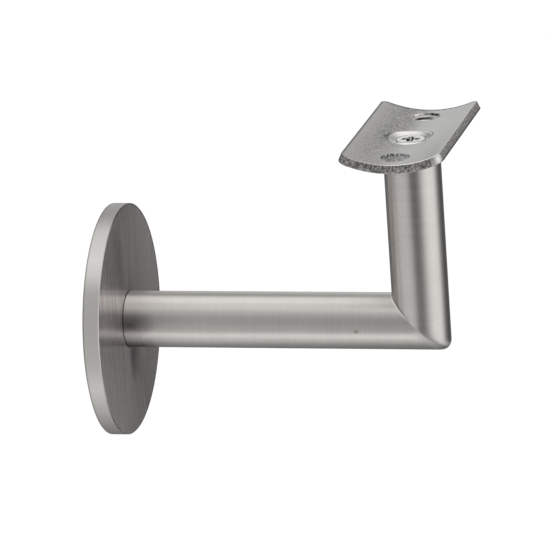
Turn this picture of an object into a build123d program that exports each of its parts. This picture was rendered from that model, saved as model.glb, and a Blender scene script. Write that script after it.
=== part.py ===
from build123d import *
import os
from math import asin, degrees, radians, sqrt, tan

# Wall bracket for a round handrail, in satin stainless steel.
#
# A mitred tube arm is welded into a round flange that is screwed to the wall. A thin turned cover
# slides along the arm and hides the flange. A curved saddle plate is screwed to a tapped plug in
# the top of the upright, and the rail is fixed to it from below.
#
# Frame: the origin is the centre of the wall face, on the arm's axis. +X points out of the wall
# along the arm, +Y runs along the handrail and +Z is up. All sizes are in millimetres.

# Arm and upright: the same tube, mitred at 45 degrees, welded and ground
tube_diameter = 19.0
tube_wall = 1.5
arm_reach = 106.0  # wall face to the upright's axis
elbow_rounding = 3.0  # size of the ground outer corner of the mitre

# Saddle plate
saddle_height = 63.5  # arm's axis to the lowest line of the saddle's top face
seat_radius = 38.0  # the rail lies in this hollow
saddle_thickness = 3.0
saddle_width = 32.5  # straight across, between the top face's long edges
saddle_length = 67.0
saddle_corner_radius = 3.0
saddle_edge_break = 0.2

# Rail screw holes, countersunk from the underside
rail_hole_pitch = 49.0
rail_hole_diameter = 9.2  # at the top face
rail_sink_diameter = 14.0  # at the underside

# Saddle screw, a countersunk machine screw with a cross recess
thread_diameter = 6.0
screw_length = 16.0
head_diameter = 11.0
head_rim = 0.3  # short straight rim above the head's cone
head_drop = 0.8  # top of the head below the lowest line of the saddle
screw_tip_chamfer = 0.6
recess_span = 7.0
recess_wing = 1.8
recess_depth = 2.8
recess_end_slope = 26.5  # degrees, from upright

# Tapped plug in the top of the upright
plug_length = 15.0
plug_gap = 0.05  # all round, inside the tube, filled by the weld
thread_gap = 0.05  # the threads are left plain, with this much room
plug_lead_in = 0.4  # room for the tip of the head's cone

# Wall flange
flange_thickness = 4.0
flange_gap = 0.05  # all round the arm, filled by the weld
wall_screw_circle = 54.0
wall_screw_count = 3
wall_screw_diameter = 6.5
wall_screw_sink = 12.5

# Wall cover
cover_diameter = 78.0
cover_depth = 5.5
cover_sheet = 1.2
cover_edge_radius = 0.4
cover_inner_radius = 0.3
cover_bore_gap = 0.12  # all round the arm, so that the cover slides
cover_bore_break = 0.15
cover_skirt_gap = 0.2  # all round the flange

# Values that several pieces share
tube_radius = tube_diameter / 2
bore_radius = tube_radius - tube_wall
saddle_centre_z = saddle_height + seat_radius
under_radius = seat_radius + saddle_thickness
under_height = saddle_height - saddle_thickness
thread_radius = thread_diameter / 2
head_radius = head_diameter / 2
head_top = saddle_height - head_drop
past = tube_diameter  # how far cutting shapes reach past what they cut


def block_across(points):
    """A block through the whole bracket along Y, with the given outline of (x, z) points."""
    outline = make_face(Polyline(*points, close=True))
    return extrude(Plane.XZ * outline, amount=past, both=True)


def rod_along_x(radius, start, end):
    """A round rod on the arm's axis."""
    return Pos(start, 0, 0) * Rot(0, 90, 0) * Cylinder(
        radius, end - start, align=(Align.CENTER, Align.CENTER, Align.MIN)
    )


def rod_along_z(radius, start, end):
    """A round rod on the upright's axis."""
    return Pos(arm_reach, 0, start) * Cylinder(
        radius, end - start, align=(Align.CENTER, Align.CENTER, Align.MIN)
    )


def turned(points, axis):
    """A turned solid from (x, z) points on one side of the axis."""
    return revolve(Plane.XZ * make_face(Polyline(*points, close=True)), axis=axis)


def saddle_round(radius):
    """A cylinder along the rail, on the centre line of the saddle's curve."""
    return Pos(arm_reach, 0, saddle_centre_z) * Rot(90, 0, 0) * Cylinder(radius, 2 * saddle_length)


def ground_corner():
    """An ellipsoid on the crossing of the two axes, which rounds the mitre's outer corner.

    It touches each tube all along a flat ellipse, so the corner runs into the tubes smoothly,
    is roundest at the tip and fades out towards the sides, as a ground weld does.
    """
    long_half = sqrt(tube_radius * (2 * tube_radius - elbow_rounding))
    short_half = sqrt(tube_radius * elbow_rounding)
    ball = scale(Sphere(tube_radius), by=(long_half / tube_radius, 1, short_half / tube_radius))
    return Pos(arm_reach, 0, 0) * Rot(0, 225, 0) * ball


# How far the corner's edge has moved from the axis crossing, for each unit across the tube
corner_slope = (tube_radius - elbow_rounding) / tube_radius
mitre_point = (arm_reach, 0)
mitre_inner = (arm_reach - past, past)
mitre_outer = (arm_reach + past, -past)
corner_under_arm = (arm_reach + past * corner_slope, -past)
corner_on_upright = (arm_reach + past, -past * corner_slope)


def arm_tube():
    """The horizontal tube, from the wall to the mitre, with its half of the ground corner."""
    arm_zone = block_across([(0, -past), corner_under_arm, mitre_point, mitre_inner, (0, past)])
    tube = rod_along_x(tube_radius, 0, arm_reach + past) & arm_zone
    tube += ground_corner() & block_across([mitre_point, corner_under_arm, mitre_outer])
    return tube - rod_along_x(bore_radius, 0, arm_reach + past)


def upright_tube():
    """The upright, from the mitre to the saddle, its top cut to the saddle's curve."""
    top_left = (arm_reach - past, saddle_height)
    top_right = (arm_reach + past, saddle_height)
    zone = block_across([mitre_point, corner_on_upright, top_right, top_left, mitre_inner])
    tube = rod_along_z(tube_radius, -past, saddle_height) & zone
    tube += ground_corner() & block_across([mitre_point, mitre_outer, corner_on_upright])
    tube -= rod_along_z(bore_radius, -past, saddle_height)
    return tube - saddle_round(under_radius)


def head_cone(room):
    """The shape of the screw's head below its rim, carried up and down, with room all round."""
    rim_z = head_top - head_rim
    tip_z = rim_z - head_radius - room
    top_z = head_top + past
    return turned(
        [(arm_reach, tip_z), (arm_reach + top_z - tip_z, top_z), (arm_reach, top_z)],
        Axis((arm_reach, 0, 0), (0, 0, 1)),
    )


def threaded_plug():
    """The solid plug welded into the upright's top and tapped for the saddle screw."""
    plug = rod_along_z(bore_radius - plug_gap, under_height - plug_length, saddle_height)
    plug -= saddle_round(under_radius)
    plug -= rod_along_z(thread_radius + thread_gap, 0, saddle_height)
    return plug - head_cone(plug_lead_in)


def rail_hole(y):
    """One rail screw hole: a cone that opens downwards, under a short straight land."""
    hole_radius = rail_hole_diameter / 2
    sink_radius = rail_sink_diameter / 2
    sink_top = under_height + sink_radius - hole_radius
    spread = sink_top - under_height + past
    hole = turned(
        [
            (arm_reach, saddle_height + past),
            (arm_reach + hole_radius, saddle_height + past),
            (arm_reach + hole_radius, sink_top),
            (arm_reach + hole_radius + spread, sink_top - spread),
            (arm_reach, sink_top - spread),
        ],
        Axis((arm_reach, 0, 0), (0, 0, 1)),
    )
    return Pos(0, y, 0) * hole


def saddle_plate():
    """The curved plate that carries the rail, with rounded corners and three holes."""
    half_angle = degrees(asin(saddle_width / 2 / seat_radius))
    centre = (arm_reach, saddle_centre_z)
    top = CenterArc(centre, seat_radius, 270 - half_angle, 2 * half_angle)
    under = CenterArc(centre, under_radius, 270 - half_angle, 2 * half_angle)
    section = make_face([top, under, Line(top @ 0, under @ 0), Line(top @ 1, under @ 1)])
    plate = extrude(Plane.XZ * section, amount=saddle_length / 2, both=True)
    plate = fillet(plate.edges().filter_by(GeomType.LINE).filter_by(Plane.XZ), saddle_corner_radius)
    curved_faces = plate.faces().filter_by(GeomType.CYLINDER).sort_by(SortBy.AREA)[-2:]
    plate = fillet(curved_faces.edges(), saddle_edge_break)
    plate -= rod_along_z(thread_radius + thread_gap, 0, saddle_height)
    plate -= head_cone(0)
    for side in (-1, 1):
        plate -= rail_hole(side * rail_hole_pitch / 2)
    return plate


def recess_bar():
    """One bar of the cross recess, narrower at the bottom than at the top."""
    top_half = recess_span / 2
    bottom_half = top_half - recess_depth * tan(radians(recess_end_slope))
    outline = Polyline(
        (-top_half, 0), (top_half, 0), (bottom_half, -recess_depth), (-bottom_half, -recess_depth),
        close=True,
    )
    return extrude(Plane.XZ * make_face(outline), amount=recess_wing / 2, both=True)


def saddle_screw():
    """The countersunk screw that holds the saddle down."""
    cone_z = head_top - head_rim
    thread_z = cone_z - (head_radius - thread_radius)
    tip_z = head_top - screw_length
    screw = turned(
        [
            (arm_reach, head_top),
            (arm_reach + head_radius, head_top),
            (arm_reach + head_radius, cone_z),
            (arm_reach + thread_radius, thread_z),
            (arm_reach + thread_radius, tip_z + screw_tip_chamfer),
            (arm_reach + thread_radius - screw_tip_chamfer, tip_z),
            (arm_reach, tip_z),
        ],
        Axis((arm_reach, 0, 0), (0, 0, 1)),
    )
    recess = recess_bar() + Rot(0, 0, 90) * recess_bar()
    return screw - Pos(arm_reach, 0, head_top) * recess


def wall_flange():
    """The round steel flange behind the cover, with its countersunk wall screw holes."""
    cover_inside = cover_diameter / 2 - cover_sheet
    flange = rod_along_x(cover_inside - cover_skirt_gap, 0, flange_thickness)
    flange -= rod_along_x(tube_radius + flange_gap, 0, flange_thickness)
    hole_radius = wall_screw_diameter / 2
    sink_radius = wall_screw_sink / 2
    sink_x = flange_thickness - (sink_radius - hole_radius)
    hole = turned(
        [
            (0, 0),
            (0, hole_radius),
            (sink_x, hole_radius),
            (flange_thickness, sink_radius),
            (flange_thickness, 0),
        ],
        Axis.X,
    )
    for index in range(wall_screw_count):
        turn = 360 * index / wall_screw_count
        flange -= Rot(turn, 0, 0) * Pos(0, 0, wall_screw_circle / 2) * hole
    return flange


def ring(solid, x, radius):
    """The round edge of a turned solid at a place along the arm, with the radius given."""
    rings = solid.edges().filter_by(GeomType.CIRCLE).filter_by_position(Axis.X, x, x)
    return rings.sort_by(lambda edge: abs(edge.radius - radius))[0]


def wall_cover():
    """The thin cap that slides along the arm and closes over the flange."""
    outside = cover_diameter / 2
    inside = outside - cover_sheet
    back = cover_depth - cover_sheet
    bore = tube_radius + cover_bore_gap
    cover = turned(
        [
            (0, inside),
            (0, outside),
            (cover_depth, outside),
            (cover_depth, bore + cover_bore_break),
            (cover_depth - cover_bore_break, bore),
            (back, bore),
            (back, inside),
        ],
        Axis.X,
    )
    cover = fillet(ring(cover, cover_depth, outside), cover_edge_radius)
    return fillet(ring(cover, back, inside), cover_inner_radius)


pieces = {
    "wall_flange": wall_flange(),
    "wall_cover": wall_cover(),
    "arm_tube": arm_tube(),
    "upright_tube": upright_tube(),
    "threaded_plug": threaded_plug(),
    "saddle_plate": saddle_plate(),
    "saddle_screw": saddle_screw(),
}

os.makedirs("parts", exist_ok=True)
for name, piece in pieces.items():
    export_step(piece, f"parts/{name}.step")
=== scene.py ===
from math import asin, atan2, cos, hypot, pi, radians, sin, sqrt

import bmesh
import bpy
from mathutils import Matrix, Vector


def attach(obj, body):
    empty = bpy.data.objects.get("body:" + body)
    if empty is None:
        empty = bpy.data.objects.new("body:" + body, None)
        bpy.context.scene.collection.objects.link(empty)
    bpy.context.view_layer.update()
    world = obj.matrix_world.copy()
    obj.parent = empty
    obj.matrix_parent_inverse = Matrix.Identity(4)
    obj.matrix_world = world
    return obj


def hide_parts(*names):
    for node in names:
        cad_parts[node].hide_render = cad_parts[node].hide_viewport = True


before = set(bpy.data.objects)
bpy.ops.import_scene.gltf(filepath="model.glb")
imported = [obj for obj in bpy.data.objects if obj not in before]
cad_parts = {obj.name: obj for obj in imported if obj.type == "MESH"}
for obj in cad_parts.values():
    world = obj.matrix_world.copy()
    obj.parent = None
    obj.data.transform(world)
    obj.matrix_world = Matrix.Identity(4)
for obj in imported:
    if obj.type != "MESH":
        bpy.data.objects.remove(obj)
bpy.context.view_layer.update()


# Wall flange
# Round plate of 4 mm stainless steel that the arm is welded into. Three countersunk screws hold
# it to the wall. The cover hides it, so it keeps the dull finish of the rolled plate.
def put(tree, kind, sockets=(), **options):
    """Adds a shader node. Its sockets are given by name or number, each with a value or a link."""
    made = tree.nodes.new("ShaderNode" + kind)
    for option, value in options.items():
        setattr(made, option, value)
    for socket, value in dict(sockets).items():
        if isinstance(value, bpy.types.NodeSocket):
            tree.links.new(value, made.inputs[socket])
        else:
            made.inputs[socket].default_value = value
    return made


def feed(shader, socket, value):
    """Links a value that changes over the surface into a socket of the shader."""
    shader.id_data.links.new(value, shader.inputs[socket])


def bare_steel(name, roughness):
    """A new metal material, its node tree and its shader."""
    metal = bpy.data.materials.new(name)
    metal.use_nodes = True
    shader = metal.node_tree.nodes["Principled BSDF"]
    shader.inputs["Metallic"].default_value = 1
    shader.inputs["Roughness"].default_value = roughness
    return metal, metal.node_tree, shader


def grain(tree, per_metre, detail=2.0, roughness=0.5):
    """Noise from 0 to 1, with so many spots in a metre along X, Y and Z."""
    place = put(tree, "TexCoord")
    stretch = put(tree, "Mapping", {"Vector": place.outputs["Object"], "Scale": per_metre})
    noise = {"Vector": stretch.outputs[0], "Scale": 1, "Detail": detail, "Roughness": roughness}
    return put(tree, "TexNoise", noise).outputs[0]


def opaque(tone):
    """A colour as a node takes it, from red, green and blue or from one grey. A link stays as it is."""
    if isinstance(tone, bpy.types.NodeSocket):
        return tone
    return (*tone, 1) if isinstance(tone, tuple) else (tone, tone, tone, 1)


def tones(tree, factor, stops):
    """Colours, or greys, along a factor."""
    ramp = put(tree, "ValToRGB", {0: factor})
    while len(ramp.color_ramp.elements) < len(stops):
        ramp.color_ramp.elements.new(0.5)
    for element, (position, tone) in zip(ramp.color_ramp.elements, stops):
        element.position = position
        element.color = opaque(tone)
    return ramp.outputs[0]


def spread(tree, value, low, high, start=0.3, end=0.7):
    """Low up to the start value, high from the end value on, and even between them."""
    ends = {"Value": value, "From Min": start, "From Max": end, "To Min": low, "To Max": high}
    return put(tree, "MapRange", ends).outputs[0]


def dented(tree, shader, height, depth):
    """Gives the surface the relief of a height pattern, so many metres deep."""
    bump = put(tree, "Bump", {"Strength": 1, "Distance": depth, "Height": height})
    feed(shader, "Normal", bump.outputs[0])


def dress(piece, *metals):
    """Gives a piece these materials and no others."""
    piece.data.materials.clear()
    for metal in metals:
        piece.data.materials.append(metal)


flange_steel, tree, shader = bare_steel("flange_steel", 0.42)
cloud = grain(tree, (90, 90, 90), detail=4)
feed(shader, "Base Color", tones(tree, cloud, [(0.3, (0.5, 0.49, 0.48)), (0.7, (0.6, 0.59, 0.58))]))
feed(shader, "Roughness", spread(tree, grain(tree, (700, 700, 700)), 0.36, 0.5))
dented(tree, shader, grain(tree, (2500, 2500, 2500)), 0.00002)
dress(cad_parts["wall_flange"], flange_steel)


# Arm tube
# Stainless tube, 19 mm across with a 1.5 mm wall, sawn at 45 degrees, welded and ground at the
# mitre. Its satin finish is brushed round the tube, so light spreads along it in soft bands.
arm_reach = 0.106
elbow = (arm_reach, 0, 0)
tube_radius = 0.0095
bore_radius = 0.008
blank_length = arm_reach + 0.02
tube_facets = 192
corner_size = 0.003
corner_slope = (tube_radius - corner_size) / tube_radius
bead_radius = 0.00022
bead_end = 0.0028
smooth_up_to = radians(30)
merging = 1e-6
seam_merging = 2.5e-6


def only(*pieces):
    """Selects these objects and no others, the last one active."""
    bpy.ops.object.select_all(action="DESELECT")
    for piece in pieces:
        piece.select_set(True)
    bpy.context.view_layer.objects.active = pieces[-1]


def settled(piece):
    """Puts an object's place, turn and scale into its mesh."""
    only(piece)
    bpy.ops.object.transform_apply(location=True, rotation=True, scale=True)
    return piece


def pick(kind, test):
    """Selects the faces, edges or vertices of the mesh in edit mode that pass a test."""
    bpy.ops.mesh.select_mode(type=kind)
    bpy.ops.mesh.select_all(action="DESELECT")
    piece = bpy.context.object
    shape = bmesh.from_edit_mesh(piece.data)
    parts = {"FACE": shape.faces, "EDGE": shape.edges, "VERT": shape.verts}[kind]
    for part in parts:
        if test(part):
            part.select_set(True)
    if kind != "FACE":
        shape.select_flush(True)
    bmesh.update_edit_mesh(piece.data)


def middle(part):
    """The middle of an edge or a face."""
    corners = part.verts
    return sum((corner.co for corner in corners), Vector()) / len(corners)


def sliced(place, normal, **options):
    """Slices the whole mesh in edit mode along a plane."""
    bpy.ops.mesh.select_all(action="SELECT")
    bpy.ops.mesh.bisect(plane_co=place, plane_no=normal, threshold=merging, **options)


def rod(name, radius, start, end, axis, facets, **options):
    """A cylinder from one point to another, which lie along the axis X, Y or Z."""
    turn = {"X": (0, pi / 2, 0), "Y": (pi / 2, 0, 0), "Z": (0, 0, 0)}[axis]
    start, end = Vector(start), Vector(end)
    bpy.ops.object.select_all(action="DESELECT")
    bpy.ops.mesh.primitive_cylinder_add(
        vertices=facets, radius=radius, depth=(end - start).length,
        location=(start + end) / 2, rotation=turn, **options,
    )
    bpy.context.object.name = name
    return settled(bpy.context.object)


def cut(piece, cutter, operation="DIFFERENCE"):
    """Cuts one piece with another, or joins them, and merges slivers. The other one is used up."""
    only(piece)
    boolean = piece.modifiers.new("cut", "BOOLEAN")
    boolean.object = cutter
    boolean.operation = operation
    boolean.solver = "EXACT"
    bpy.ops.object.modifier_apply(modifier="cut")
    bpy.ops.object.mode_set(mode="EDIT")
    bpy.ops.mesh.select_all(action="SELECT")
    bpy.ops.mesh.remove_doubles(threshold=merging)
    bpy.ops.object.mode_set(mode="OBJECT")
    only(cutter)
    bpy.ops.object.delete()
    only(piece)


tube_start, tube_end = (0, 0, 0), (blank_length, 0, 0)
arm = rod("arm", tube_radius, tube_start, tube_end, "X", tube_facets, end_fill_type="NOTHING")
bpy.ops.object.mode_set(mode="EDIT")
for slope in (1, corner_slope):
    sliced(elbow, (1, 0, slope))
for slope in (1, corner_slope):
    pick("FACE", lambda face: middle(face).x + slope * middle(face).z > arm_reach)
    bpy.ops.mesh.delete(type="FACE")
bpy.ops.object.mode_set(mode="OBJECT")

# The ground outer corner is a slice of an ellipsoid that runs smoothly into the tube
bpy.ops.object.select_all(action="DESELECT")
bpy.ops.mesh.primitive_uv_sphere_add(
    segments=240, ring_count=tube_facets // 2, radius=tube_radius, rotation=(pi / 2, 0, 0),
)
corner = settled(bpy.context.object)
corner.scale = (
    sqrt(tube_radius * (2 * tube_radius - corner_size)) / tube_radius,
    1,
    sqrt(tube_radius * corner_size) / tube_radius,
)
corner.rotation_euler = (0, pi / 4, 0)
corner.location = elbow
settled(corner)
bpy.ops.object.mode_set(mode="EDIT")
sliced(elbow, (1, 0, corner_slope), clear_inner=True)
sliced(elbow, (1, 0, 1), clear_outer=True)
bpy.ops.object.mode_set(mode="OBJECT")

bore = rod("bore", bore_radius, tube_start, tube_end, "X", tube_facets, end_fill_type="NOTHING")
bpy.ops.object.mode_set(mode="EDIT")
sliced(elbow, (1, 0, 1), clear_outer=True)
bpy.ops.mesh.select_all(action="SELECT")
bpy.ops.mesh.flip_normals()
bpy.ops.object.mode_set(mode="OBJECT")

only(bore, corner, arm)
bpy.ops.object.join()
bpy.ops.object.mode_set(mode="EDIT")
bpy.ops.mesh.select_all(action="SELECT")
bpy.ops.mesh.remove_doubles(threshold=seam_merging)
pick("EDGE", lambda edge: edge.is_boundary and middle(edge).x < 0.001)
bpy.ops.mesh.bridge_edge_loops()
pick("EDGE", lambda edge: edge.is_boundary)
bpy.ops.mesh.bridge_edge_loops()
bpy.ops.mesh.select_all(action="SELECT")
bpy.ops.mesh.normals_make_consistent(inside=False)
bpy.ops.object.mode_set(mode="OBJECT")
bpy.ops.object.shade_smooth_by_angle(angle=smooth_up_to)

# The upright starts as a plain copy of the arm
bpy.ops.object.duplicate()
upright = bpy.context.object
upright.name = "upright"

# A fine bead of weld is left in the mitre's inner side, where it catches the light
bpy.ops.object.select_all(action="DESELECT")
bpy.ops.mesh.primitive_torus_add(
    major_segments=tube_facets, minor_segments=10, major_radius=tube_radius, minor_radius=bead_radius,
)
bead = bpy.context.object
bead.scale = (sqrt(2), 1, 1)
settled(bead)
bead.rotation_euler = (0, pi / 4, 0)
bead.location = elbow
settled(bead)
bpy.ops.object.mode_set(mode="EDIT")
sliced((0, 0, bead_end), (0, 0, 1), clear_inner=True, use_fill=True)
bpy.ops.object.mode_set(mode="OBJECT")
cut(arm, bead, "UNION")
bpy.ops.object.shade_smooth_by_angle(angle=smooth_up_to)


def mixed(tree, factor, first, second):
    """Two colours mixed by a factor, 0 for the first and 1 for the second."""
    mix = put(tree, "Mix", {0: factor, 6: opaque(first), 7: opaque(second)}, data_type="RGBA")
    return mix.outputs[2]


def reckoned(tree, operation, first, second=0.0):
    """Two values put together by an operation of the Math node."""
    return put(tree, "Math", {0: first, 1: second}, operation=operation).outputs[0]


def times(tree, first, *others):
    """The product of several factors."""
    for other in others:
        first = reckoned(tree, "MULTIPLY", first, other)
    return first


def whereabouts(tree):
    """Where the surface lies along X, out of the wall, along Y, to the far side, and along Z, up."""
    place = put(tree, "SeparateXYZ", {0: put(tree, "TexCoord").outputs["Object"]})
    return tuple(place.outputs)


def past_mitre(tree, out, up):
    """How far the surface lies past the mitre's plane, measured along X."""
    return reckoned(tree, "SUBTRACT", reckoned(tree, "ADD", out, up), arm_reach)


def spot(tree, centre, reach, core=0.0):
    """1 at a place, falling to 0 at its reach along X, Y and Z. Inside the core it stays 1."""
    middle_at = tuple(-where / far for where, far in zip(centre, reach))
    scale = tuple(1 / far for far in reach)
    place = put(tree, "TexCoord").outputs["Object"]
    away = put(tree, "Mapping", {"Vector": place, "Location": middle_at, "Scale": scale})
    away = put(tree, "VectorMath", {0: away.outputs[0]}, operation="LENGTH")
    return spread(tree, away.outputs["Value"], 1, 0, core, 1)


def brushed(name, colour, along, around, axis, roughness=0.3):
    """Satin steel, brushed round an axis. Along and around give the grain's marks in a metre.

    Gives the material, its node tree, its shader and its colour before any marks or painted light.
    """
    metal, tree, shader = bare_steel(name, roughness)
    fine = grain(tree, tuple(along if step else around for step in axis), detail=5, roughness=0.7)
    cloud = grain(tree, (110, 110, 110), detail=3)
    speckle = grain(tree, (700, 700, 700), detail=3, roughness=0.6)
    light, dark, dull, dim = (tuple(value * part for value in colour) for part in (1.06, 0.91, 0.82, 0.9))
    shade = tones(tree, fine, [(0.3, dark), (0.7, light)])
    shade = mixed(tree, spread(tree, cloud, 0.0, 0.3), shade, dull)
    shade = mixed(tree, spread(tree, speckle, 0.0, 0.3), shade, dim)
    feed(shader, "Roughness", spread(tree, fine, roughness - 0.03, roughness + 0.03))
    shader.inputs["Anisotropic"].default_value = 0.8
    dented(tree, shader, fine, 0.000002)
    return metal, tree, shader, shade


def line(tree, direction):
    """A direction that is the same all over the surface."""
    return put(tree, "CombineXYZ", dict(enumerate(direction))).outputs[0]


def brushed_round(tree, shader, axis):
    """Lays the brushing round an axis. Where the mitre's outer side is ground, it runs across the mitre."""
    out, side, up = whereabouts(tree)
    near = spread(tree, reckoned(tree, "ABSOLUTE", past_mitre(tree, out, up)), 1, 0, 0, 0.004)
    ground = times(tree, near, spread(tree, up, 1, 0, -0.003, 0.0005))
    normal = put(tree, "TexCoord").outputs["Normal"]
    seam = put(tree, "VectorMath", {0: (1, 0, 1), 1: normal}, operation="CROSS_PRODUCT")
    turning = {0: ground, 4: line(tree, axis), 5: seam.outputs[0]}
    feed(shader, "Tangent", put(tree, "Mix", turning, data_type="VECTOR").outputs[1])
    satin = shader.inputs["Roughness"].links[0].from_socket
    feed(shader, "Roughness", reckoned(tree, "ADD", satin, times(tree, ground, 0.14)))


tube_tone = (0.64, 0.617, 0.592)
grain_along = 2600
grain_around = 45
arm_steel, tree, shader, shade = brushed("arm_steel", tube_tone, grain_along, grain_around, (1, 0, 0))
brushed_round(tree, shader, (1, 0, 0))
out, side, up = whereabouts(tree)
# A smudge near the mitre, a painted reflection of the cover's dark face near the wall, and dirt with painted
# shade in the joint with the cover
smudge = spot(tree, (0.0856, -tube_radius, -0.0009), (0.0012, 0.004, 0.001), 0.3)
shade = mixed(tree, times(tree, smudge, 0.55), shade, (0.2, 0.17, 0.14))
# Painted reflection: the cover's dark face darkens the arm near the wall
dark_patch = spot(tree, (0.008, -tube_radius, 0.0009), (0.009, 0.02, 0.0054))
shade = mixed(tree, times(tree, dark_patch, 0.85), shade, (0.14, 0.13, 0.12))
# Dirt and painted shade darken the tube where it enters the cover's bore
shade = mixed(tree, spread(tree, out, 0.95, 0, 0.0056, 0.0058), shade, (0.02, 0.018, 0.016))
# A painted highlight makes the bead of weld bright
on_mitre = spread(tree, past_mitre(tree, out, up), 0, 1, -0.0004, -0.0003)
welded = times(tree, on_mitre, spread(tree, up, 0, 1, 0.0025, 0.0045))
shade = mixed(tree, welded, shade, (1, 0.99, 0.97))
feed(shader, "Base Color", shade)
dress(arm, arm_steel)
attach(arm, "root")
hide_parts("arm_tube")


# Upright tube
# The same tube as the arm, turned half round so that the two sawn ends meet in the mitre.
# Its top is cut to the saddle's curve and closed by the plug.
saddle_height = 0.0635
saddle_radius = 0.038
saddle_thickness = 0.003
rail_height = saddle_height + saddle_radius
rail_reach = 0.05

mitre_turn = Matrix.Rotation(pi, 4, Vector((1, 0, -1)))
mitre_place = Matrix.Translation(elbow)
upright.matrix_world = mitre_place @ mitre_turn @ mitre_place.inverted()
settled(upright)
rail = rod(
    "rail", saddle_radius + saddle_thickness,
    (arm_reach, -rail_reach, rail_height), (arm_reach, rail_reach, rail_height), "Y", 512,
)
cut(upright, rail)
bpy.ops.object.shade_smooth_by_angle(angle=smooth_up_to)

upright_steel, tree, shader, shade = brushed(
    "upright_steel", tube_tone, grain_along, grain_around, (0, 0, 1),
)
brushed_round(tree, shader, (0, 0, -1))
out, side, up = whereabouts(tree)
# A painted reflection of the arm darkens the upright along the mitre's inner side
beside_mitre = spread(tree, past_mitre(tree, out, up), 0.6, 0, 0, 0.0022)
painted_arm_reflection = times(tree, beside_mitre, spread(tree, up, 0, 1, 0.002, 0.005))
feed(shader, "Base Color", mixed(tree, painted_arm_reflection, shade, (0.12, 0.11, 0.1)))
dress(upright, upright_steel)
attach(upright, "root")
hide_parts("upright_tube")


# Wall cover
# A thin turned cap, 78 mm across, that slides along the arm and hides the flange.
# Its face is brushed straight up and down, and its rim round and round.
cover_radius = 0.039
cover_depth = 0.0055
cover_sheet = 0.0012
cover_bore = tube_radius + 0.00012
cover_facets = 256
rim_chamfer = 0.00025
bore_chamfer = 0.00015
inner_rounding = 0.0003

cover = rod("cover", cover_radius, (0, 0, 0), (cover_depth, 0, 0), "X", cover_facets)
bpy.ops.object.mode_set(mode="EDIT")
pick("FACE", lambda face: face.normal.x < -0.9)
bpy.ops.mesh.inset(thickness=cover_sheet)
bpy.ops.mesh.extrude_region_move(TRANSFORM_OT_translate={"value": (cover_depth - cover_sheet, 0, 0)})
bpy.ops.mesh.inset(thickness=cover_radius - cover_sheet - cover_bore)
pick("FACE", lambda face: face.normal.x > 0.9)
bpy.ops.mesh.inset(thickness=cover_radius - cover_bore)
pick("FACE", lambda face: len(face.verts) > 8 and middle(face).x > 0.002)
bpy.ops.mesh.bridge_edge_loops()


def at_ring(edge, place, radius):
    """Whether an edge lies on the ring of that radius at that place along the arm."""
    centre = middle(edge)
    ends = [abs(end.co.x - place) < 1e-5 for end in edge.verts]
    return all(ends) and abs(Vector((centre.y, centre.z)).length - radius) < 2e-5


for place, radius, width, segments in (
    (cover_depth, cover_bore, bore_chamfer, 1),
    (cover_depth - cover_sheet, cover_radius - cover_sheet, inner_rounding, 3),
    (cover_depth, cover_radius, rim_chamfer, 1),
):
    pick("EDGE", lambda edge: at_ring(edge, place, radius))
    bpy.ops.mesh.bevel(offset=width, segments=segments)
bpy.ops.object.mode_set(mode="OBJECT")
bpy.ops.object.shade_smooth_by_angle(angle=smooth_up_to)


def length(tree, out=0.0, side=0.0, up=0.0):
    """The length of the vector with these parts along X, Y and Z."""
    vector = put(tree, "CombineXYZ", {0: out, 1: side, 2: up}).outputs[0]
    return put(tree, "VectorMath", {0: vector}, operation="LENGTH").outputs["Value"]


def upper_far(tree, side, up):
    """0.85 on the cover's upper far side, where its edge is darkened, and 0 on the others."""
    return spread(tree, reckoned(tree, "ADD", side, up), 0, 0.85, 0.022, 0.031)


rim_steel, tree, shader, shade = brushed(
    "rim_steel", (0.6, 0.582, 0.562), grain_along, 30, (1, 0, 0), roughness=0.42,
)
shader.inputs["Anisotropic"].default_value = 0.5
feed(shader, "Tangent", line(tree, (1, 0, 0)))
out, side, up = whereabouts(tree)
# Painted sheen makes it lighter in two bands, and a painted highlight brightens its chamfer low on the near
# side
for height, reach, strength in ((0.0065, 0.015, 0.4), (0.0265, 0.007, 0.5)):
    painted_sheen = spot(tree, (0, 0, height), (1, 1, reach), 0.3)
    shade = mixed(tree, times(tree, painted_sheen, strength), shade, (0.85, 0.825, 0.797))
chamfer_start = cover_depth - rim_chamfer
on_chamfer = spread(tree, out, 0, 1, chamfer_start - 0.00001, chamfer_start + 0.00003)
low_and_near = times(tree, spread(tree, up, 1, 0, -0.02, -0.008), spread(tree, side, 1, 0, -0.005, 0.005))
shade = mixed(tree, times(tree, on_chamfer, low_and_near), shade, (1, 0.97, 0.94))
# The chamfer's upper far part is darkened, and painted shade darkens the back edge against the wall
shade = mixed(tree, times(tree, on_chamfer, upper_far(tree, side, up)), shade, (0.08, 0.075, 0.07))
shade = mixed(tree, spread(tree, out, 0.75, 0, 0.0002, 0.0006), shade, (0.2, 0.19, 0.18))
feed(shader, "Base Color", shade)

face_steel, tree, shader = bare_steel("face_steel", 0.28)
fine = grain(tree, (32, 1500, 32), detail=4, roughness=0.65)
broad = grain(tree, (12, 260, 12), detail=3)
dark, plain, light = (0.46, 0.425, 0.42), (0.6, 0.555, 0.55), (0.77, 0.715, 0.71)
shade = tones(tree, fine, [(0.36, dark), (0.5, plain), (0.64, light)])
shade = mixed(tree, spread(tree, broad, 0.0, 0.3), shade, (0.54, 0.5, 0.49))
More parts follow.
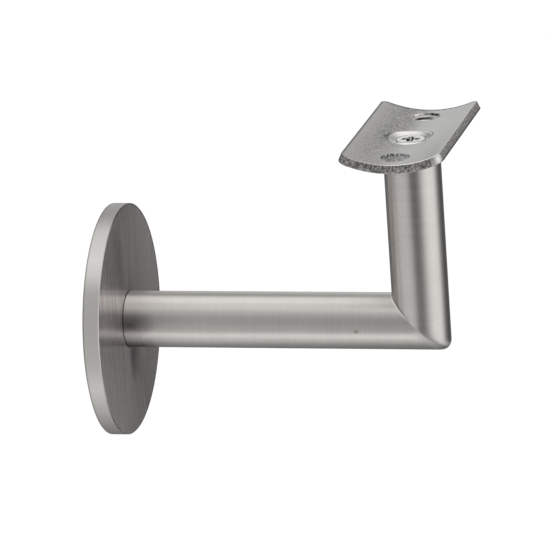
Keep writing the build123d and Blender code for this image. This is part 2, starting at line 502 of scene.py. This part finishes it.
# Painted light makes it lighter at its upper far and lower near sides; it is stained above the arm, and
# painted shade darkens it below the arm
painted_light_tone = (1.0, 0.94, 0.93)
mark_depth = 0.02
for (across_at, height), (width, rise), strength, tint in (
    # Painted light: lighter patches at the upper far and lower near sides
    ((0.04, 0.024), (0.042, 0.036), 1.0, painted_light_tone),
    ((-0.02, -0.034), (0.034, 0.034), 0.75, painted_light_tone),
    ((-0.036, -0.019), (0.017, 0.027), 0.9, painted_light_tone),
    # A stain above the arm
    ((-0.009, 0.023), (0.008, 0.016), 0.7, (0.26, 0.24, 0.23)),
    # Painted shade below the arm, darkest just under it
    ((0.007, -0.02), (0.015, 0.02), 0.45, (0.24, 0.22, 0.21)),
    ((0.0015, -0.0125), (0.007, 0.0115), 1.0, (0.05, 0.045, 0.04)),
):
    stain_and_painted_light = spot(tree, (cover_depth, across_at, height), (mark_depth, width, rise))
    ragged = times(tree, stain_and_painted_light, spread(tree, broad, 0.6, 1.0))
    shade = mixed(tree, times(tree, ragged, strength), shade, tint)
# Its upper far edge is darkened, and dust lies on all of it
out, side, up = whereabouts(tree)
darkened_edge_width = cover_radius - 0.001
darkened_edge_height = cover_radius - 0.0003
from_centre = length(tree, 0, times(tree, side, 1 / darkened_edge_width), times(tree, up, 1 / darkened_edge_height))
by_edge = spread(tree, from_centre, 0, 1, 0.993, 1.0)
shade = mixed(tree, times(tree, by_edge, upper_far(tree, side, up)), shade, (0.1, 0.095, 0.09))
dust = grain(tree, (1500, 1500, 1500), detail=2)
shade = mixed(tree, spread(tree, dust, 0, 0.8, 0.655, 0.69), shade, (1, 1, 1))
feed(shader, "Base Color", shade)
feed(shader, "Roughness", spread(tree, fine, 0.21, 0.25))
shader.inputs["Anisotropic"].default_value = 1.0
feed(shader, "Tangent", line(tree, (0, 1, 0)))
dented(tree, shader, fine, 0.000002)

dress(cover, rim_steel, face_steel)
bpy.ops.object.mode_set(mode="EDIT")
pick("FACE", lambda face: face.normal.x > 0.95 and middle(face).x > cover_depth - 1e-5)
cover.active_material_index = 1
bpy.ops.object.material_slot_assign()
bpy.ops.object.mode_set(mode="OBJECT")
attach(cover, "root")
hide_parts("wall_cover")


# Threaded plug
# Solid turned plug, welded inside the upright's top and tapped for the saddle screw.
# Only its turned face could be seen, and the saddle covers that.
plug_steel, tree, shader = bare_steel("plug_steel", 0.34)
turned = grain(tree, (120, 120, 4000), detail=3)
feed(shader, "Base Color", tones(tree, turned, [(0.3, (0.5, 0.49, 0.47)), (0.7, (0.62, 0.61, 0.59))]))
dented(tree, shader, turned, 0.00001)
dress(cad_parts["threaded_plug"], plug_steel)


# Saddle plate
# A strip of 3 mm stainless plate, cut with rounded corners, pressed to the handrail's curve and
# drilled. Its cut edges stay rough and dark, and the outer holes have ragged rims.
saddle_width = 0.0325
saddle_length = 0.067
saddle_end = saddle_length / 2
half_angle = asin(saddle_width / 2 / saddle_radius)
blank_width = 2 * half_angle * saddle_radius
strips = 84
screw_radius = 0.00305
head_radius = 0.0055
head_top = saddle_height - 0.00065
head_rim = 0.0005
hole_pitch = 0.049
hole_radius = 0.0046
sink_radius = 0.007
sink_reach = 0.005
screw_facets = 96
corner_rounding = 0.003
edge_rounding = 0.0003
seat_rise = 0.00195
seat_reach = 0.00785
seat_reach_along = 0.0095
raggedness = 0.00014
below_plate = 0.05
above_plate = 0.07

# The blank stands on its long edge while it is cut, because the press then bends it about Y
bpy.ops.object.select_all(action="DESELECT")
bpy.ops.mesh.primitive_plane_add(size=1, rotation=(0, pi / 2, 0))
saddle = bpy.context.object
saddle.name = "saddle"
saddle.scale = (blank_width, saddle_length, 1)
settled(saddle)
bpy.ops.object.mode_set(mode="EDIT")
bpy.ops.mesh.select_all(action="SELECT")
bpy.ops.mesh.bevel(offset=corner_rounding, segments=10, affect="VERTICES")
bpy.ops.mesh.select_all(action="SELECT")
bpy.ops.mesh.extrude_region_move(TRANSFORM_OT_translate={"value": (-saddle_thickness, 0, 0)})
bpy.ops.mesh.select_all(action="SELECT")
bpy.ops.mesh.normals_make_consistent(inside=False)
pick("EDGE", lambda edge: abs(edge.verts[0].co.x - edge.verts[1].co.x) < 1e-6)
bpy.ops.mesh.bevel(offset=edge_rounding, segments=3)
for strip in range(1, strips):
    sliced((0, 0, (strip / strips - 0.5) * blank_width), (0, 0, 1))
bpy.ops.object.mode_set(mode="OBJECT")

press = saddle.modifiers.new("press", "SIMPLE_DEFORM")
press.deform_method = "BEND"
press.deform_axis = "Y"
press.angle = 2 * half_angle
bpy.ops.object.modifier_apply(modifier="press")
saddle.rotation_euler = (0, -pi / 2, 0)
saddle.location = (arm_reach, 0, saddle_height)
settled(saddle)

# The screw has pulled into the plate: round its cone the seat opens wider, most on the near side
cone_start = head_top - head_rim - head_radius + screw_radius
foot, tip = (arm_reach, 0, below_plate), (arm_reach, 0, cone_start)
seat = rod("seat", screw_radius, foot, tip, "Z", screw_facets)
bpy.ops.object.mode_set(mode="EDIT")
for lift, wide, deep, shift in (
    (head_radius - screw_radius, head_radius / screw_radius, head_radius / screw_radius, (0, 0)),
    (seat_rise, seat_reach / head_radius, seat_reach_along / head_radius, (-0.00055, -0.0021)),
    (0.004, 1, 1, (0, 0)),
):
    pick("FACE", lambda face: face.normal.z > 0.9)
    bpy.ops.mesh.extrude_region_move(TRANSFORM_OT_translate={"value": (0, 0, lift)})
    bpy.ops.transform.resize(value=(wide, deep, 1), center_override=elbow)
    bpy.ops.transform.translate(value=(*shift, 0))
bpy.ops.object.mode_set(mode="OBJECT")
cut(saddle, seat)

sink_top = saddle_height - saddle_thickness + sink_radius - hole_radius
widened = (hole_radius + sink_reach) / hole_radius
for far in (-1, 1):
    place = far * hole_pitch / 2
    foot, tip = (arm_reach, place, sink_top), (arm_reach, place, above_plate)
    drill = rod("drill", hole_radius, foot, tip, "Z", screw_facets)
    bpy.ops.object.mode_set(mode="EDIT")
    pick("FACE", lambda face: face.normal.z < -0.9)
    bpy.ops.mesh.extrude_region_move(TRANSFORM_OT_translate={"value": (0, 0, -sink_reach)})
    bpy.ops.transform.resize(value=(widened, widened, 1), center_override=(arm_reach, place, 0))
    pick("VERT", lambda corner: corner.co.z > sink_top - 0.0001)
    bpy.ops.transform.vertex_random(offset=raggedness, seed=4 + far)
    bpy.ops.object.mode_set(mode="OBJECT")
    cut(saddle, drill)
bpy.ops.object.shade_smooth_by_angle(angle=smooth_up_to)

saddle_steel, tree, shader = bare_steel("saddle_steel", 0.38)
mottle = grain(tree, (1300, 1300, 1300), detail=4, roughness=0.75)
cloud = grain(tree, (240, 240, 240), detail=4, roughness=0.6)
rolled = grain(tree, (60, 900, 60), detail=4)
out, side, up = whereabouts(tree)
off_middle = reckoned(tree, "SUBTRACT", out, arm_reach)
plain = tones(tree, rolled, [(0.3, (0.655, 0.65, 0.64)), (0.7, (0.69, 0.685, 0.675))])
plain = mixed(tree, spread(tree, off_middle, 1, 0, -0.012, 0.005), plain, (0.54, 0.53, 0.515))
# The press has marked a band on the wall side of the holes, and a dark mottled patch lies beside the screw
dark, grey, pale = (0.13, 0.127, 0.122), (0.33, 0.322, 0.31), (0.6, 0.59, 0.57)
rough = tones(tree, mottle, [(0.42, dark), (0.5, grey), (0.58, pale)])
from_band = reckoned(tree, "ABSOLUTE", reckoned(tree, "ADD", off_middle, 0.007))
worn = times(
    tree, spread(tree, from_band, 1.0, 0, 0.0025, 0.008), spread(tree, cloud, 0.75, 1.0, 0.4, 0.6),
    spread(tree, side, 0.5, 1.0, -0.022, 0.004),
)
shade = mixed(tree, worn, plain, rough)
dark_patch = spot(tree, (arm_reach - 0.0086, -0.002, saddle_height), (0.0034, 0.0085, 0.01), 0.3)
shade = mixed(tree, times(tree, dark_patch, 0.6), shade, tones(tree, mottle, [(0.4, 0.1), (0.6, 0.5)]))
# The countersink is bright
bright = spot(tree, (arm_reach - 0.0001, 0, saddle_height), (0.0073, 0.0073, 0.01), 0.97)
shade = mixed(tree, times(tree, bright, 0.85), shade, (0.9, 0.89, 0.87))
# The outer holes have dark torn rims and mottled walls, and a painted reflection brightens the far hole's
# wall side
off_hole = reckoned(tree, "SUBTRACT", reckoned(tree, "ABSOLUTE", side), hole_pitch / 2)
from_hole = length(tree, off_middle, off_hole)
torn = reckoned(tree, "ADD", from_hole, times(tree, mottle, 0.0024))
shade = mixed(tree, spread(tree, torn, 0.85, 0, 0.0059, 0.0062), shade, (0.05, 0.048, 0.045))
far_side = spread(tree, side, 0, 1, 0, 0.001)
flecks = reckoned(tree, "SUBTRACT", mottle, times(tree, far_side, 0.03))
flecks = tones(tree, flecks, [(0.43, 0.02), (0.5, 0.3), (0.56, 0.95)])
# Painted reflection on the far hole's wall side
painted_bright_wall = times(tree, spread(tree, off_middle, 1, 0, -0.0016, 0), far_side)
flecks = mixed(tree, painted_bright_wall, flecks, (0.9, 0.89, 0.87))
in_bore = spread(tree, from_hole, 1, 0, hole_radius + 0.0001, hole_radius + 0.0003)
shade = mixed(tree, in_bore, shade, flecks)
# Below, they flare out: painted light makes the far hole bright, with painted shade in a band low on its
# wall side, and the near one is mottled
in_sink = spread(tree, from_hole, 1, 0, sink_radius, sink_radius + 0.0001)
flared = times(tree, in_sink, spread(tree, up, 1, 0, saddle_height - 0.0009, saddle_height - 0.0007))
far_wall_part = times(tree, spread(tree, off_middle, 1, 0, -0.0004, 0.0018), far_side)
above_band = spread(tree, up, 0, 1, saddle_height - 0.0019, saddle_height - 0.0016)
near_side = spread(tree, side, 1, 0, -0.001, 0.001)
flare = mixed(tree, far_wall_part, (0.95, 0.94, 0.92), (0.2, 0.19, 0.18))
flare = mixed(tree, times(tree, far_wall_part, above_band), flare, (0.95, 0.94, 0.91))
flare = mixed(tree, near_side, flare, tones(tree, mottle, [(0.42, 0.45), (0.58, 0.9)]))
shade = mixed(tree, flared, shade, flare)
# A dark line runs round the countersink on the side away from the wall
from_axis = length(tree, off_middle, side)
seat_line = times(
    tree, spread(tree, from_axis, 0, 1, 0.0071, 0.0072), spread(tree, from_axis, 1, 0, 0.0075, 0.0076),
    spread(tree, off_middle, 0, 0.8, 0.004, 0.0065),
)
shade = mixed(tree, seat_line, shade, (0.06, 0.055, 0.05))
# Painted shade darkens its wall side and far edges, and a painted highlight brightens its near edge
wall_edge = spread(tree, off_middle, 1, 0, -0.016, -0.0154)
far_edge = spread(tree, side, 0, 1, saddle_end - 0.0021, saddle_end - 0.0011)
either_edge = reckoned(tree, "MAXIMUM", wall_edge, far_edge)
painted_edge_shade = times(tree, either_edge, spread(tree, mottle, 1, 0.5, 0.46, 0.56))
shade = mixed(tree, painted_edge_shade, shade, (0.08, 0.077, 0.07))
near_edge = spread(tree, side, 1, 0, 0.0003 - saddle_end, 0.0005 - saddle_end)
painted_edge_highlight = times(tree, near_edge, spread(tree, off_middle, 0, 0.95, -0.006, 0.006))
shade = mixed(tree, painted_edge_highlight, shade, (1, 0.99, 0.98))
feed(shader, "Base Color", shade)
feed(shader, "Roughness", spread(tree, mottle, 0.34, 0.46))
# The painted bright band high on the far hole's wall side is made dull and pale
painted_bright_band = times(tree, flared, far_wall_part, above_band)
feed(shader, "Metallic", spread(tree, painted_bright_band, 1, 0.2, 0, 1))
dented(tree, shader, times(tree, mottle, worn), 0.00005)

cut_edge_steel, tree, shader = bare_steel("cut_edge_steel", 0.5)
coarse = grain(tree, (1900, 1900, 1300), detail=4, roughness=0.75)
dark, grey, pale = (0.08, 0.078, 0.074), (0.28, 0.27, 0.26), (0.6, 0.59, 0.57)
shade = tones(tree, coarse, [(0.38, dark), (0.49, grey), (0.6, pale)])
out, side, up = whereabouts(tree)
off_middle = reckoned(tree, "SUBTRACT", out, arm_reach)
from_rail = length(tree, off_middle, 0, reckoned(tree, "SUBTRACT", up, rail_height))
# The side away from the wall is lighter, with a line of painted shade along the foot
outer_side = spread(tree, off_middle, 0, 1, 0.0145, 0.0152)
dark, grey, pale = (0.25, 0.245, 0.236), (0.5, 0.49, 0.475), (0.88, 0.865, 0.84)
outer_tones = tones(tree, coarse, [(0.4, dark), (0.49, grey), (0.6, pale)])
# Painted shade: a dark line along the foot of the edge
foot = spread(tree, from_rail, 0, 0.8, saddle_radius + 0.0021, saddle_radius + 0.0026)
outer_tones = mixed(tree, foot, outer_tones, (0.1, 0.098, 0.09))
shade = mixed(tree, outer_side, shade, outer_tones)
# Painted shade makes the top of the far and wall sides darkest, and a painted glint brightens the near
# corner
wall_side = times(
    tree, spread(tree, off_middle, 1, 0, -0.0158, -0.0152),
    spread(tree, side, 0, 1, 0.0025 - saddle_end, 0.0045 - saddle_end),
)
far_edge = spread(tree, side, 0, 1, saddle_end - 0.0021, saddle_end - 0.0011)
top_rim = spread(tree, from_rail, 1, 0, saddle_radius + 0.0004, saddle_radius + 0.0007)
painted_rim_shade = times(tree, reckoned(tree, "MAXIMUM", wall_side, far_edge), top_rim)
shade = mixed(tree, painted_rim_shade, shade, (0.06, 0.058, 0.055))
near_corner = (arm_reach + 0.0152, 0.0012 - saddle_end, saddle_height + 0.001)
glint = spot(tree, near_corner, (0.0021, 0.0021, 0.003), 0.4)
feed(shader, "Base Color", mixed(tree, glint, shade, (1, 0.99, 0.97)))
dented(tree, shader, times(tree, coarse, spread(tree, glint, 1, 0, 0, 1)), 0.00008)

edge_band = 0.0032
edge_turn = half_angle - edge_band / saddle_radius


def on_cut_edge(face):
    """Whether a face of the saddle is on its sawn outer edge."""
    centre = middle(face)
    off_axis = centre.x - arm_reach
    if hypot(off_axis, abs(centre.y) - hole_pitch / 2) < sink_radius + 0.0005:
        return False
    outward = Vector((off_axis, 0, centre.z - rail_height)).normalized()
    slope = abs(face.normal.dot(outward))
    turn = atan2(off_axis, rail_height - centre.z)
    by_edge = abs(centre.y) > saddle_end - edge_band or abs(turn) > edge_turn
    dark_side = centre.y > saddle_end - edge_band or turn < -edge_turn
    return by_edge and slope < (0.98 if dark_side else 0.5)


dress(saddle, saddle_steel, cut_edge_steel)
bpy.ops.object.mode_set(mode="EDIT")
pick("FACE", on_cut_edge)
saddle.active_material_index = 1
bpy.ops.object.material_slot_assign()
bpy.ops.object.mode_set(mode="OBJECT")
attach(saddle, "root")
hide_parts("saddle_plate")


# Saddle screw
# Countersunk machine screw, 6 mm, with a cross recess, in bright stainless steel.
# It holds the saddle down on the plug, its head a little below the plate's face.
thread_radius = 0.003
screw_length = 0.016
cone_height = head_radius - thread_radius
tip_bevel = 0.0006
rim_bevel = 0.0004
recess_length = 0.0072
recess_width = 0.0024
recess_top = 0.001
recess_depth = 0.0028

rim_foot = head_top - head_rim
screw = rod("screw", head_radius, (arm_reach, 0, rim_foot), (arm_reach, 0, head_top), "Z", screw_facets)
bpy.ops.object.mode_set(mode="EDIT")
for drop, factor in (
    (cone_height, thread_radius / head_radius),
    (screw_length - head_rim - cone_height - tip_bevel, 1),
    (tip_bevel, (thread_radius - tip_bevel) / thread_radius),
):
    pick("FACE", lambda face: face.normal.z < -0.9)
    bpy.ops.mesh.extrude_region_move(TRANSFORM_OT_translate={"value": (0, 0, -drop)})
    bpy.ops.transform.resize(value=(factor, factor, 1), center_override=elbow)
pick("EDGE", lambda edge: all(end.co.z > head_top - 1e-5 for end in edge.verts))
bpy.ops.mesh.bevel(offset=rim_bevel, segments=1)
bpy.ops.object.mode_set(mode="OBJECT")

for turn in (0, pi / 2):
    bpy.ops.object.select_all(action="DESELECT")
    bpy.ops.mesh.primitive_cube_add(size=1, location=(0, 0, (recess_top - recess_depth) / 2))
    wing = bpy.context.object
    wing.scale = (recess_length, recess_width, recess_top + recess_depth)
    settled(wing)
    bpy.ops.object.mode_set(mode="EDIT")
    pick("FACE", lambda face: face.normal.z < -0.9)
    bpy.ops.transform.resize(value=(0.5, 0.7, 1), center_override=(0, 0, 0))
    bpy.ops.object.mode_set(mode="OBJECT")
    wing.rotation_euler = (0, 0, turn)
    wing.location = (arm_reach, 0, head_top)
    settled(wing)
    cut(screw, wing)
bpy.ops.object.shade_smooth_by_angle(angle=smooth_up_to)

screw_steel, tree, shader = bare_steel("screw_steel", 0.25)
wear = grain(tree, (1500, 1500, 1500), detail=4)
shade = tones(tree, wear, [(0.36, (0.4, 0.4, 0.39)), (0.42, (0.93, 0.93, 0.92)), (0.6, (1, 1, 0.99))])
out, side, up = whereabouts(tree)
from_axis = length(tree, reckoned(tree, "SUBTRACT", out, arm_reach), side)
# Painted shade darkens the bottom of the recess and five places along it
bottom = spread(tree, up, 1, 0, head_top - 0.0022, head_top - 0.0014)
painted_recess_shade = times(tree, bottom, spread(tree, from_axis, 1, 0, 0.001, 0.002))
inside = spread(tree, up, 1, 0, head_top - 0.0003, head_top - 0.0001)
for shift, width in ((-0.0031, 0.0005), (-0.0014, 0.0007), (0, 0.0006), (0.0014, 0.0005), (0.0035, 0.0005)):
    painted_stroke = spot(tree, (arm_reach + shift, 0, head_top), (width, 0.006, 0.006), 0.65)
    painted_recess_shade = reckoned(tree, "MAXIMUM", painted_recess_shade, times(tree, painted_stroke, inside))
shade = mixed(tree, painted_recess_shade, shade, (0.01, 0.009, 0.008))
feed(shader, "Metallic", spread(tree, painted_recess_shade, 1, 0, 0, 1))
# A dark line runs inside the head's bright rim
rim_line = times(tree, spread(tree, from_axis, 0, 1, 0.0046, 0.0048), spread(tree, wear, 0.8, 1))
shade = mixed(tree, rim_line, shade, (0.04, 0.038, 0.035))
shade = mixed(tree, spread(tree, from_axis, 0, 1, 0.0051, 0.00515), shade, (0.97, 0.97, 0.96))
feed(shader, "Base Color", shade)
feed(shader, "Roughness", spread(tree, wear, 0.2, 0.34))
dented(tree, shader, wear, 0.00004)
dress(screw, screw_steel)
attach(screw, "root")
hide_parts("saddle_screw")


# Floor and studio
# A plain white floor under a white surround. Round the bracket stands a wide ring that glows in painted
# greys for the metal to reflect, like the cards of product photographs; the camera sees through the ring.
floor_height = -0.55
studio_centre = Vector((0.08, 0, 0))
ring_radius = 0.7
ring_height = 2.4

bpy.ops.object.select_all(action="DESELECT")
bpy.ops.mesh.primitive_plane_add(size=30, location=(0, 0, floor_height))
floor = bpy.context.object
floor.name = "floor"
floor_white = bpy.data.materials.new("floor_white")
floor_white.use_nodes = True
tree = floor_white.node_tree
tree.nodes.clear()


def seen(tree):
    """1 for rays from the camera and for those that metal or glass sends on, else 0."""
    path = put(tree, "LightPath")
    gloss = reckoned(tree, "MAXIMUM", path.outputs["Is Camera Ray"], path.outputs["Is Glossy Ray"])
    return reckoned(tree, "MAXIMUM", gloss, path.outputs["Is Transmission Ray"])


paint = put(tree, "BsdfDiffuse", {0: opaque(0.9)})
glow = put(tree, "Emission", {0: opaque(1), 1: 1.12})
share = times(tree, seen(tree), 0.6)
both = put(tree, "MixShader", {0: share, 1: paint.outputs[0], 2: glow.outputs[0]})
put(tree, "OutputMaterial", {0: both.outputs[0]})
floor.data.materials.append(floor_white)

world = bpy.data.worlds.new("studio")
bpy.context.scene.world = world
world.use_nodes = True
tree = world.node_tree
tree.nodes.clear()
strength = spread(tree, seen(tree), 0.95, 1.0, 0, 1)
surround = put(tree, "Background", {0: opaque(1), 1: strength})
put(tree, "OutputWorld", {0: surround.outputs[0]})


def unseen(backdrop):
    """Leaves a backdrop to the metal's reflections alone."""
    backdrop.visible_camera = backdrop.visible_diffuse = backdrop.visible_shadow = False


def glowing(backdrop, name):
    """A new material of plain light for a backdrop: its node tree and its light."""
    glow_material = bpy.data.materials.new(name)
    glow_material.use_nodes = True
    glow_material.node_tree.nodes.clear()
    light = put(glow_material.node_tree, "Emission", {1: 1})
    put(glow_material.node_tree, "OutputMaterial", {0: light.outputs[0]})
    backdrop.data.materials.append(glow_material)
    return glow_material.node_tree, light


bpy.ops.object.select_all(action="DESELECT")
bpy.ops.mesh.primitive_cylinder_add(
    vertices=128, radius=ring_radius, depth=ring_height, end_fill_type="NOTHING",
    location=studio_centre + Vector((0, 0, floor_height + ring_height / 2)),
)
ring = settled(bpy.context.object)
ring.name = "glowing_ring"
tree, light = glowing(ring, "glowing_ring")
out, side, up = whereabouts(tree)
across = reckoned(tree, "SUBTRACT", out, studio_centre.x)
azimuth = reckoned(tree, "ARCTAN2", across, times(tree, side, -1))
azimuth = spread(tree, azimuth, 0, 1, -pi, pi)
rise = reckoned(tree, "ARCTAN2", up, ring_radius)


def round_ring(*greys):
    """The ring's grey at angles in degrees from -Y towards +X, all the way round."""
    return tones(tree, azimuth, [((angle + 180) / 360, grey) for angle, grey in greys])


low = round_ring(
    (-180, 0.2), (-150, 0.14), (-112, 0.22), (-92, 0.18), (-74, 0.36), (-56, 0.68), (-24, 0.72), (-11, 0.58),
    (-3, 0.32), (5, 0.08), (20, 0.06), (29, 0.18), (40, 0.5), (52, 0.9), (66, 1.2), (95, 1.2), (106, 0.9),
    (116, 0.4), (128, 0.18), (140, 0.11), (160, 0.125), (170, 0.17), (180, 0.2),
)
middle_row = round_ring(
    (-180, 0.71), (-162, 0.7), (-150, 0.26), (-130, 0.16), (-108, 0.34), (-60, 0.64), (-30, 0.66),
    (-14, 0.5), (0, 0.27), (8, 0.15), (22, 0.1), (33, 0.2), (50, 0.75), (66, 1.0), (100, 1.0), (118, 0.5),
    (132, 0.12), (158, 0.08), (164, 0.4), (171, 0.71), (180, 0.71),
)
upper = round_ring(
    (-180, 0.42), (-120, 0.6), (-60, 0.75), (0, 0.68), (50, 0.85), (100, 1.0), (130, 0.6), (180, 0.42),
)
floorward = round_ring(
    (-180, 0.1), (-120, 0.3), (-70, 0.75), (-10, 0.75), (14, 0.55), (50, 0.9), (90, 0.8), (115, 0.1),
    (140, 0.02), (180, 0.1),
)
tone = floorward
for start, end, greys in ((-38, -18, low), (-8, 3, middle_row), (24, 48, upper), (46, 60, (1, 1, 1))):
    tone = mixed(tree, spread(tree, rise, 0, 1, radians(start), radians(end)), tone, greys)
feed(light, "Color", tone)
unseen(ring)

# A sheet over the floor behind glows in painted dark greys, which the undersides reflect. It pales towards
# the front.
bpy.ops.object.select_all(action="DESELECT")
bpy.ops.mesh.primitive_plane_add(size=1, location=(0.2, 0.2, floor_height + 0.01))
glowing_sheet = settled(bpy.context.object)
glowing_sheet.name = "glowing_dark_sheet"
tree, light = glowing(glowing_sheet, "glowing_dark_sheet")
out, side, up = whereabouts(tree)
back = spread(tree, side, 0, 1, -0.3, 0.7)
left = tones(tree, back, [(0, 0.9), (0.15, 0.8), (0.28, 0.62), (0.42, 0.42), (0.63, 0.3), (1, 0.2)])
right = tones(tree, back, [(0, 0.7), (0.15, 0.35), (0.28, 0.08), (0.4, 0.02), (1, 0.02)])
feed(light, "Color", mixed(tree, spread(tree, out, 0, 1, -0.05, 0.2), left, right))
unseen(glowing_sheet)


def softbox(name, azimuth, elevation, distance, width, brightness):
    """A square lamp that shines on the bracket from a direction, its brightness 1 for white."""
    side, rise = radians(azimuth), radians(elevation)
    towards = Vector((sin(side) * cos(rise), -cos(side) * cos(rise), sin(rise)))
    bpy.ops.object.light_add(type="AREA", location=studio_centre + distance * towards)
    lamp = bpy.context.object
    lamp.name = name
    lamp.rotation_euler = towards.to_track_quat("Z", "Y").to_euler()
    lamp.data.shape = "SQUARE"
    lamp.data.size = width
    lamp.data.energy = brightness * pi * width * width


softbox("right_softbox", 77, 5, 1.1, 1.2, 0.25)
softbox("top_softbox", 170, 68, 1.2, 1.2, 0.25)


# Camera
# A long lens from the front right and a little above, turned slightly, as in the photograph.
camera_yaw = radians(14.51)
camera_rise = radians(17.02)
camera_roll = radians(4.02)
camera_distance = 1.6343
camera_target = Vector((0.05683, 0, 0.01571))

aim = (
    Matrix.Rotation(camera_yaw, 4, "Z")
    @ Matrix.Rotation(pi / 2 - camera_rise, 4, "X")
    @ Matrix.Rotation(-camera_roll, 4, "Z")
)
bpy.ops.object.camera_add()
camera = bpy.context.object
camera.matrix_world = Matrix.Translation(camera_target) @ aim @ Matrix.Translation((0, 0, camera_distance))
camera.data.lens = 320.78
camera.data.sensor_width = 36
camera.data.clip_end = 100
bpy.context.scene.camera = camera
bpy.context.scene.view_settings.view_transform = "Standard"
